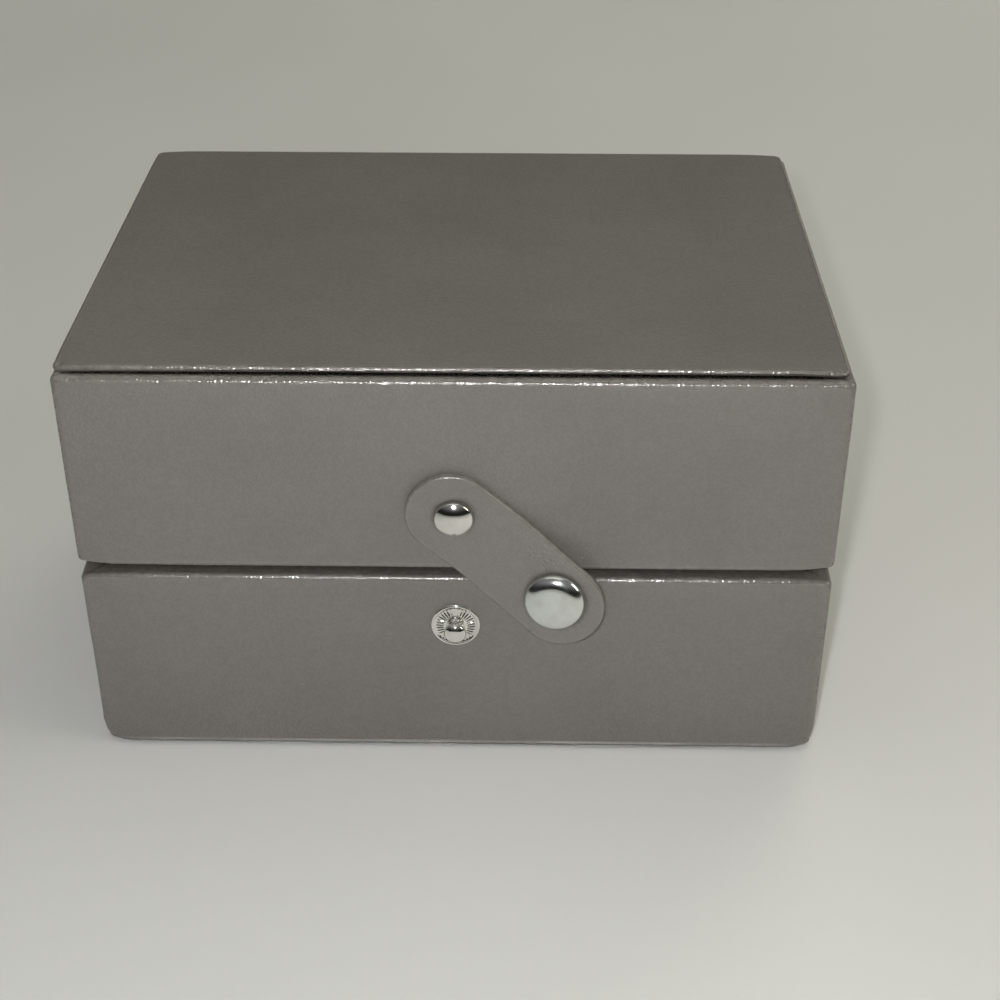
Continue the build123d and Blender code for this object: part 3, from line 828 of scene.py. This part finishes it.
def strap():
    """One leather strip from head to tip, built as shrinking outlines about its middle line."""
    head_end, tip_end = STRAP_HEAD + STRAP_HALF, STRAP_TIP - STRAP_HALF
    edge = 0.45
    run_step = 0.45
    arc_steps = 56
    row_step = 0.5
    bend_length = 7.0
    drill_overrun = 2
    runs = ceil((tip_end - head_end) / run_step)
    caps = ((0.0, RIVET_CAP_RADIUS), (SNAP_REACH, SNAP_CAP_RADIUS))

    def outline(inset):
        radius = max(STRAP_HALF - inset, 0.0)
        points = [(head_end + (tip_end - head_end) * i / runs, -radius) for i in range(runs)]
        for i in range(arc_steps):
            a = -pi / 2 + pi * i / arc_steps
            points.append((tip_end + radius * cos(a), radius * sin(a)))
        points += [(tip_end - (tip_end - head_end) * i / runs, radius) for i in range(runs)]
        for i in range(arc_steps):
            a = pi / 2 + pi * i / arc_steps
            points.append((head_end + radius * cos(a), radius * sin(a)))
        return points

    def face_level(s, t, side):
        """How far a face is pressed in round the rivet and the snap, and how it rolls elsewhere."""
        level = 0.06 * wave((s, t, side), 7, 11)
        for centre, cap in caps:
            away = hypot(s - centre, t)
            level -= 0.34 * bell(max(away - cap, 0.0), 0.8)
        # Small puckers fan out where the snap draws the leather in
        away = hypot(s - SNAP_REACH, t) - SNAP_CAP_RADIUS
        if away > 0:
            fan = sin(26 * atan2(t, s - SNAP_REACH) + 3 * wave((s, t, 0), 4, 21))
            level += 0.05 * fan * bell(away - 0.6, 1.5)
        return level if side > 0 else -level * 0.5

    # From the middle of the outer face over the rounded edge to the middle of the inner one, each
    # section an inset and a level from 1 on the outer face to -1 on the inner
    sections = [(STRAP_HALF - row_step * i, 1) for i in range(17)] + [(row_step, 1)]
    sections += [(edge * (1 - sin(a)), 1 - (1 - cos(a)) * edge / STRAP_THICK * 2)
                 for a in (0.0, 0.3, 0.62, 0.95, 1.28, pi / 2)]
    sections += [(0.0, 0.0)]
    sections += [(inset, -level) for inset, level in reversed(sections[:-1])]
    bm = bmesh.new()
    loops = []
    for inset, level in sections:
        on_face = abs(level) > 0.99
        loop = []
        for s, t in outline(inset):
            h = -STRAP_THICK / 2 + level * STRAP_THICK / 2
            if on_face:
                h += face_level(s, t, level) * min(1.0, inset / 1.2)
            loop.append(bm.verts.new(strap_place(s, t, h)))
        loops.append(loop)
    join_loops(bm, loops)

    def strip_place(point):
        local = point - PIVOT
        return local.dot(ALONG), local.dot(ACROSS)

    def wear(point):
        s, t = strip_place(point)
        core = min(max(s, head_end), tip_end)
        return bell(STRAP_HALF - hypot(s - core, t), 0.5)

    def soil(point):
        """Painted shade: dark lines where the caps press into the leather."""
        s, t = strip_place(point)
        return 0.9 * max(bell(hypot(s - centre, t) - cap, 0.36) for centre, cap in caps)

    def pucker(point):
        """Wrinkles just before the snap, by the strap's upper edge."""
        s, t = strip_place(point)
        return bell(s - 18.0, 6.0) * bell(t - 5.5, 3.0)

    piece = make_piece("strap_leather_strip", bm, STRAP_LEATHER, None, "taupe_leather",
                       ["strap_head", "strap_tongue"], wear=wear, soil=soil, pucker=pucker)
    for centre, _ in caps:
        outer = strap_place(centre, 0, drill_overrun)
        inner = strap_place(centre, 0, -drill_overrun - STRAP_THICK)
        length = (outer - inner).length
        profile = [(0, 0), (STRAP_HOLE_RADIUS, 0), (STRAP_HOLE_RADIUS, length), (0, length)]
        cut_away(piece, lathe(profile, inner, outer - inner, 32))
    piece.data.shade_smooth()
    # Two points on its middle line beyond the hinge line, where it bends so that no part of it turns into
    # the wall
    start, end = strap_place(STRAP_SPLIT, 0, 0), strap_place(STRAP_SPLIT + bend_length, 0, 0)
    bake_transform(piece)


def dome(radius, height, edge, flatness):
    """Profile of a domed cap from its seat to its top, with a rolled rim.

    A high flatness keeps the middle level.
    """
    roll = 0.32
    steps = 32
    profile = [(radius - roll, 0.0)] + arc_points((radius - roll, roll), roll, -80, 0, 6)
    profile += [(radius, edge * 0.8)]
    for i in range(1, steps + 1):
        share = 1 - i / steps
        profile.append((radius * share, edge + (height - edge) * (1 - share**flatness)))
    return profile


def rivet():
    """The rivet's cap on the strap, with its shank through strap and wall."""
    shank_radius = 1.5
    seat = STRAP_THICK + STRAP_STAND_OFF + 0.1
    shank = seat + WALL
    place = Vector((0, FRONT - seat, RIVET_Z))
    profile = [(0.0, -shank), (shank_radius, -shank), (shank_radius, 0.0)]
    profile += dome(RIVET_CAP_RADIUS, 1.8, 0.5, 2.3)
    make_piece("rivet_cap", lathe(profile, place, OUTWARD), NICKEL, "lid", "bright_nickel", ["pivot_rivet"])


def snap_parts():
    """The cap on the strap's face, and the socket behind it that takes the stud."""
    place = strap_place(SNAP_REACH, 0, 0)
    axis = strap_place(SNAP_REACH, 0, 1) - place
    shank = STRAP_HOLE_RADIUS
    bore_top = -STRAP_THICK - 0.6
    profile = [(0.0, bore_top), (shank, bore_top), (shank, 0.0)] + dome(SNAP_CAP_RADIUS, 2.1, 0.7, 5.2)
    make_piece("snap_cap_dome", lathe(profile, place, axis, 128), SATIN_NICKEL, "strap_end",
               "bright_nickel", ["snap_cap"])
    flange, mouth, bore = 4.7, 2.6, 3.05
    lip = 0.35
    top = -STRAP_THICK
    seat = top - 0.05
    floor_z = top - 1.8
    profile = [(shank, seat), (flange, seat)] + arc_points((flange, top - 0.3), 0.3, 80, -80, 6)
    profile += [(4.35, top - 0.65), (SOCKET_BODY, top - 0.85), (SOCKET_BODY, floor_z + lip)]
    profile += arc_points((3.85, floor_z + lip), lip, 0, -90, 5)
    profile += [(2.9, floor_z + 0.02), (2.65, floor_z + 0.15)]
    profile += [(mouth, floor_z + lip), (mouth, floor_z + 0.5)]
    profile += [(bore, floor_z + 0.52), (bore, bore_top), (shank, bore_top), (shank, seat)]
    make_piece("snap_socket_cup", lathe(profile, place, axis), NICKEL, "strap_end", "bright_nickel",
               ["snap_socket"])


def stud():
    """The male half on the base: a raised rim, a fluted dish and a ball on a neck."""
    flutes = 34
    flute_height = 0.10
    shank, flange = 1.7, 4.7
    dish_edge, dish_width, dish_low, dish_rise = 4.0, 1.5, 0.46, 0.30
    dish_steps = 8
    neck = 1.8
    profile = [(0.0, -WALL), (shank, -WALL), (shank, 0.0), (flange, 0.0)]
    profile += arc_points((4.62, 0.40), 0.38, -60, 150, 10)
    profile += [(4.14, 0.52), (dish_edge, dish_low)]
    for i in range(1, dish_steps + 1):
        share = i / dish_steps
        profile.append((dish_edge - dish_width * i / dish_steps, dish_low + dish_rise * share**1.4))
    profile += [(2.25, 0.72), (1.95, 0.8), (neck, 1.05), (neck, 2.0), (1.95, 2.3), (2.15, 2.6)]
    profile += arc_points((1.55, 3.25), 0.7, -25, 62, 8)
    profile += [(1.5, 4.16), (1.0, 4.32), (0.5, 4.38), (0.0, 4.4)]

    def ripple(radius, angle):
        within = max(0.0, 1 - abs((radius - 3.2) / 0.95) ** 3)
        return flute_height * within * cos(flutes * angle)

    bm = lathe(profile, (0, FRONT, STUD_Z), OUTWARD, flutes * 8, ripple)
    make_piece("stud_fluted", bm, NICKEL, "base", "bright_nickel", ["snap_stud"])


def hinge_screws(half, height):
    """Round-headed screws with crossed slots, four to each half."""
    leaf_face = HALF_DEPTH + HINGE_LEAF
    head = [(1.7, 0.0), (1.7, 0.18), (1.62, 0.32), (1.4, 0.45), (1.0, 0.55), (0.5, 0.595), (0.0, 0.6)]
    shank = [(0.0, -5.0), (0.45, -4.7), (0.8, -3.9), (0.8, 0.0)]
    slot_size = (2.0, 0.6, 0.36)
    slot_middle = Vector((0, 0.55, 0))
    first_turn = 0.4
    places = [Vector((x, leaf_face, height)) for x in SCREWS_X]
    bm = bmesh.new()
    for place in places:
        one = bpy.data.meshes.new("one")
        screw = lathe(shank + head, place, (0, 1, 0), 40)
        screw.to_mesh(one)
        screw.free()
        bm.from_mesh(one)
        bpy.data.meshes.remove(one)
    piece = make_piece(f"{half}_screws", bm, HINGE_METAL, half, "nickel_steel", [f"{half}_hinge_screws"])
    # The two slots of a cross are cut one after the other, so that no cutter crosses itself
    for quarter in (0.0, pi / 2):
        cuts = bmesh.new()
        for index, place in enumerate(places):
            slot = bmesh.ops.create_cube(cuts, size=1.0)["verts"]
            turned = Matrix.Rotation(first_turn + index + quarter, 4, "Y")
            moved = Matrix.Translation(place + slot_middle) @ turned
            bmesh.ops.scale(cuts, vec=slot_size, verts=slot)
            bmesh.ops.transform(cuts, matrix=moved, verts=slot)
        cut_away(piece, cuts)
    piece.data.set_sharp_from_angle(angle=radians(40))


# Velvet inside

def velvet_block(node, body, radius=0.7, swell=0.12):
    """A velvet-wrapped board in place of a plain CAD block; its faces sink by up to swell."""
    step = 6.0
    low, high = cad_box(node)
    thick_axis = min(range(3), key=lambda axis: high[axis] - low[axis])
    middle = (low + high) / 2

    def shape(point):
        side = sign(point[thick_axis] - middle[thick_axis])
        inside = min(min(point[a] - low[a], high[a] - point[a]) for a in range(3) if a != thick_axis)
        moved = point.copy()
        ebb = min(1.0, max(inside, 0.0) / 5)
        moved[thick_axis] -= side * swell * ebb * (0.5 + 0.5 * wave(point, 15, 2))
        return moved

    bm = rounded_box(low, high, radius, step, shape)
    return make_piece(f"{node}_velvet", bm, VELVET, body, "velvet", [node])


def wall_lining(half, low, high):
    """The velvet ring inside one half, folded over at its free edge."""
    outer_x, outer_y, thick = HALF_WIDTH - WALL, HALF_DEPTH - WALL, 1.0
    corner = 0.5
    rounded = 0.45
    upper = arc_points((rounded, high - rounded), rounded, 180, 90, 4)
    upper += arc_points((thick - rounded, high - rounded), rounded, 90, 0, 4)
    lower = arc_points((thick - rounded, low + rounded), rounded, 0, -90, 4)
    lower += arc_points((rounded, low + rounded), rounded, 270, 180, 4)
    rises = levels(low + rounded, high - rounded, 5.0)
    profile = [(0.0, z) for z in rises] + upper + [(thick, z) for z in reversed(rises)] + lower

    def shape(point, inset):
        if inset > thick / 2:
            dip = 0.08 * wave(point, 16, 31)
            return point - Vector((sign(point.x) * dip, sign(point.y) * dip, 0))
        return point

    bm = ring_mesh(outer_x, outer_y, corner, profile, shape)
    make_piece(f"{half}_lining_velvet", bm, VELVET, half, "velvet", [f"{half}_wall_lining"])


def ceiling_pad():
    """The thin foam pad under velvet in the lid, glued on above: its face bulges and its edges draw in."""
    low, high = cad_box("lid_ceiling_pad")
    middle = (low + high) / 2
    half = (high - low) / 2
    slack = 1.7
    draw = 0.45
    glue = 0.4

    def shape(point):
        p = point - middle
        if p.z < 0:
            p.z += slack + 0.12 * wave(p, 21, 13)
        # The sides pull in a little between the corners
        p.x -= draw * (p.x / half.x) ** 3 * (1 - (p.y / half.y) ** 2)
        p.y -= draw * (p.y / half.y) ** 3 * (1 - (p.x / half.x) ** 2)
        return p + middle

    bm = rounded_box(low, high, 0.6, 4.0, shape)
    bm = swollen(bm, 2.0, 0.3, low, high, lambda point: point.z > high.z - glue)
    piece = make_piece("lid_ceiling_pad_velvet", bm, VELVET, "lid", "velvet", ["lid_ceiling_pad"])


def ring_roll(number):
    """A foam roll in velvet: flat foot, round crown, soft ends."""
    node = f"ring_roll_{number}"
    low, high = cad_box(node)
    # It starts thinner than its space and swells to fill it
    half_width = (high.x - low.x) / 2 - 0.7
    middle_x = (low.x + high.x) / 2
    crown = high.z - 0.4
    shoulder = crown - half_width
    heel = low.z + 0.5
    soft_end = 2.2
    glue = 0.6
    stations = 46
    foot = [(half_width * share, low.z) for share in (0.35, 0.7, 0.93)]
    flank = foot + [(half_width, z) for z in [heel] + levels(heel, shoulder, 1.6)]
    section = [(0.0, low.z)] + flank
    section += [(half_width * cos(a), shoulder + half_width * sin(a))
                for a in [pi * k / 16 for k in range(17)]]
    section += [(-x, z) for x, z in reversed(flank)]
    bm = bmesh.new()
    loops = []
    for i in range(stations + 1):
        y = low.y + (high.y - low.y) * i / stations
        end = min(y - low.y, high.y - y)
        soft = sqrt(1 - (1 - min(end / soft_end, 1.0)) ** 2)
        narrow = 0.80 + 0.20 * soft
        loop = []
        for x, z in section:
            rise = (z - low.z) / (crown - low.z)
            sag = 1 - 0.03 * rise * (0.5 + 0.5 * wave((number * 9, y, 0), 19, 3))
            wide = narrow * (1 - 0.035 * (0.5 + 0.5 * wave((x, y, z + number * 40), 8, 17)))
            height = (z - low.z) * sag * (0.86 + 0.14 * soft)
            loop.append(bm.verts.new((middle_x + x * wide, y, low.z + height)))
        loops.append(loop)
    join_loops(bm, loops)
    bm.faces.new(loops[0])
    bm.faces.new(loops[-1])
    bmesh.ops.recalc_face_normals(bm, faces=bm.faces)
    bm = swollen(bm, 1.3, 0.35, low, high, lambda point: point.z < low.z + glue)
    piece = make_piece(f"{node}_velvet", bm, VELVET, "tray", "velvet", [node])


def pull_ribbon(side):
    """A tab of ribbon folded double, its two ends glued inside the tray's end wall."""
    node = f"{side}_pull_ribbon"
    low, high = cad_box(node)
    middle_x = (low.x + high.x) / 2
    half_y = (high.y - low.y) / 2
    gap, thick = 0.11, 0.17
    bend = gap + thick
    leg = gap + thick / 2
    columns = 12
    rises = levels(low.z - 1.0, high.z - bend, 0.8)
    path = [(-leg, z) for z in rises]
    path += [(leg * cos(a), high.z - bend + leg * sin(a)) for a in [pi - pi * k / 8 for k in range(9)]]
    path += [(leg, z) for z in reversed(rises)]
    path = [(x, max(z, low.z)) for x, z in path]
    bm = bmesh.new()
    faces = []
    for i, (x, z) in enumerate(path):
        ahead, behind = path[min(i + 1, len(path) - 1)], path[max(i - 1, 0)]
        run = Vector((ahead[0] - behind[0], 0, ahead[1] - behind[1])).normalized()
        out = Vector((-run.z, 0, run.x)) * (thick / 2)
        rows = []
        for layer in (1, -1):
            rows.append([
                bm.verts.new(Vector((middle_x + x, -half_y + 2 * half_y * j / columns, z)) + out * layer)
                for j in range(columns + 1)
            ])
        faces.append(rows)
    for (one, two), (next_one, next_two) in zip(faces, faces[1:]):
        for j in range(columns):
            bm.faces.new((one[j], one[j + 1], next_one[j + 1], next_one[j]))
            bm.faces.new((two[j + 1], two[j], next_two[j], next_two[j + 1]))
        for j in (0, columns):
            bm.faces.new((one[j], next_one[j], next_two[j], two[j]))
    for one, two in (faces[0], faces[-1]):
        for j in range(columns):
            bm.faces.new((one[j], one[j + 1], two[j + 1], two[j]))
    piece = make_piece(f"{node}_loop", bm, RIBBON, "tray", "ribbon", [node])


# Floor and build

def floor():
    """The plain table that the box stands on."""
    bm = bmesh.new()
    bmesh.ops.create_grid(bm, x_segments=40, y_segments=40, size=FLOOR_HALF)
    make_piece("floor", bm, TABLE, None)


def dress_cad_nodes():
    """Materials for the CAD pieces that stay as they are."""
    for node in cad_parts.values():
        if "board" in node.name:
            material = BOARD
        elif "hinge" in node.name or "backplate" in node.name:
            material = HINGE_METAL
        elif "snap" in node.name or "rivet" in node.name:
            material = NICKEL
        else:
            material = VELVET
        node.data.materials.clear()
        node.data.materials.append(material)


add_camera()
add_lights()
add_room()
floor()
dress_cad_nodes()
wrapped_wall("base_leather", "base_wall_cover", "base", (BASE_LOW, BASE_RIM), BOTTOM_TURN_IN,
             rims=(0.7, 1.2), curls=(0.0, 0.5), seed=1, pinch=1.1, ridge=0.32)
wrapped_wall("lid_leather", "lid_wall_cover", "lid", (LID_RIM, LID_TOP), WALL,
             rims=(0.9, 1.3), curls=(0.9, -0.1), seed=2, groove=0.8)
lid_panel()
bottom_sheet()
strap()
rivet()
snap_parts()
stud()
hinge_screws("base", BASE_SCREWS_Z)
hinge_screws("lid", LID_SCREWS_Z)
wall_lining("base", BASE_FLOOR_TOP, BASE_LINING_TOP)
wall_lining("lid", LID_RIM, LID_TOP)
velvet_block("base_floor_pad", "base", 0.6, swell=0.2)
ceiling_pad()
for divider in ("base_long_divider", "base_back_divider", "base_front_divider"):
    velvet_block(divider, "base", 0.9)
for tray_piece in ("tray_floor", "tray_front_wall", "tray_back_wall", "tray_left_wall", "tray_right_wall",
                   "tray_long_divider", "tray_cross_divider_1", "tray_cross_divider_2"):
    velvet_block(tray_piece, "tray")
for number in range(1, 6):
    ring_roll(number)
for side in ("left", "right"):
    pull_ribbon(side)
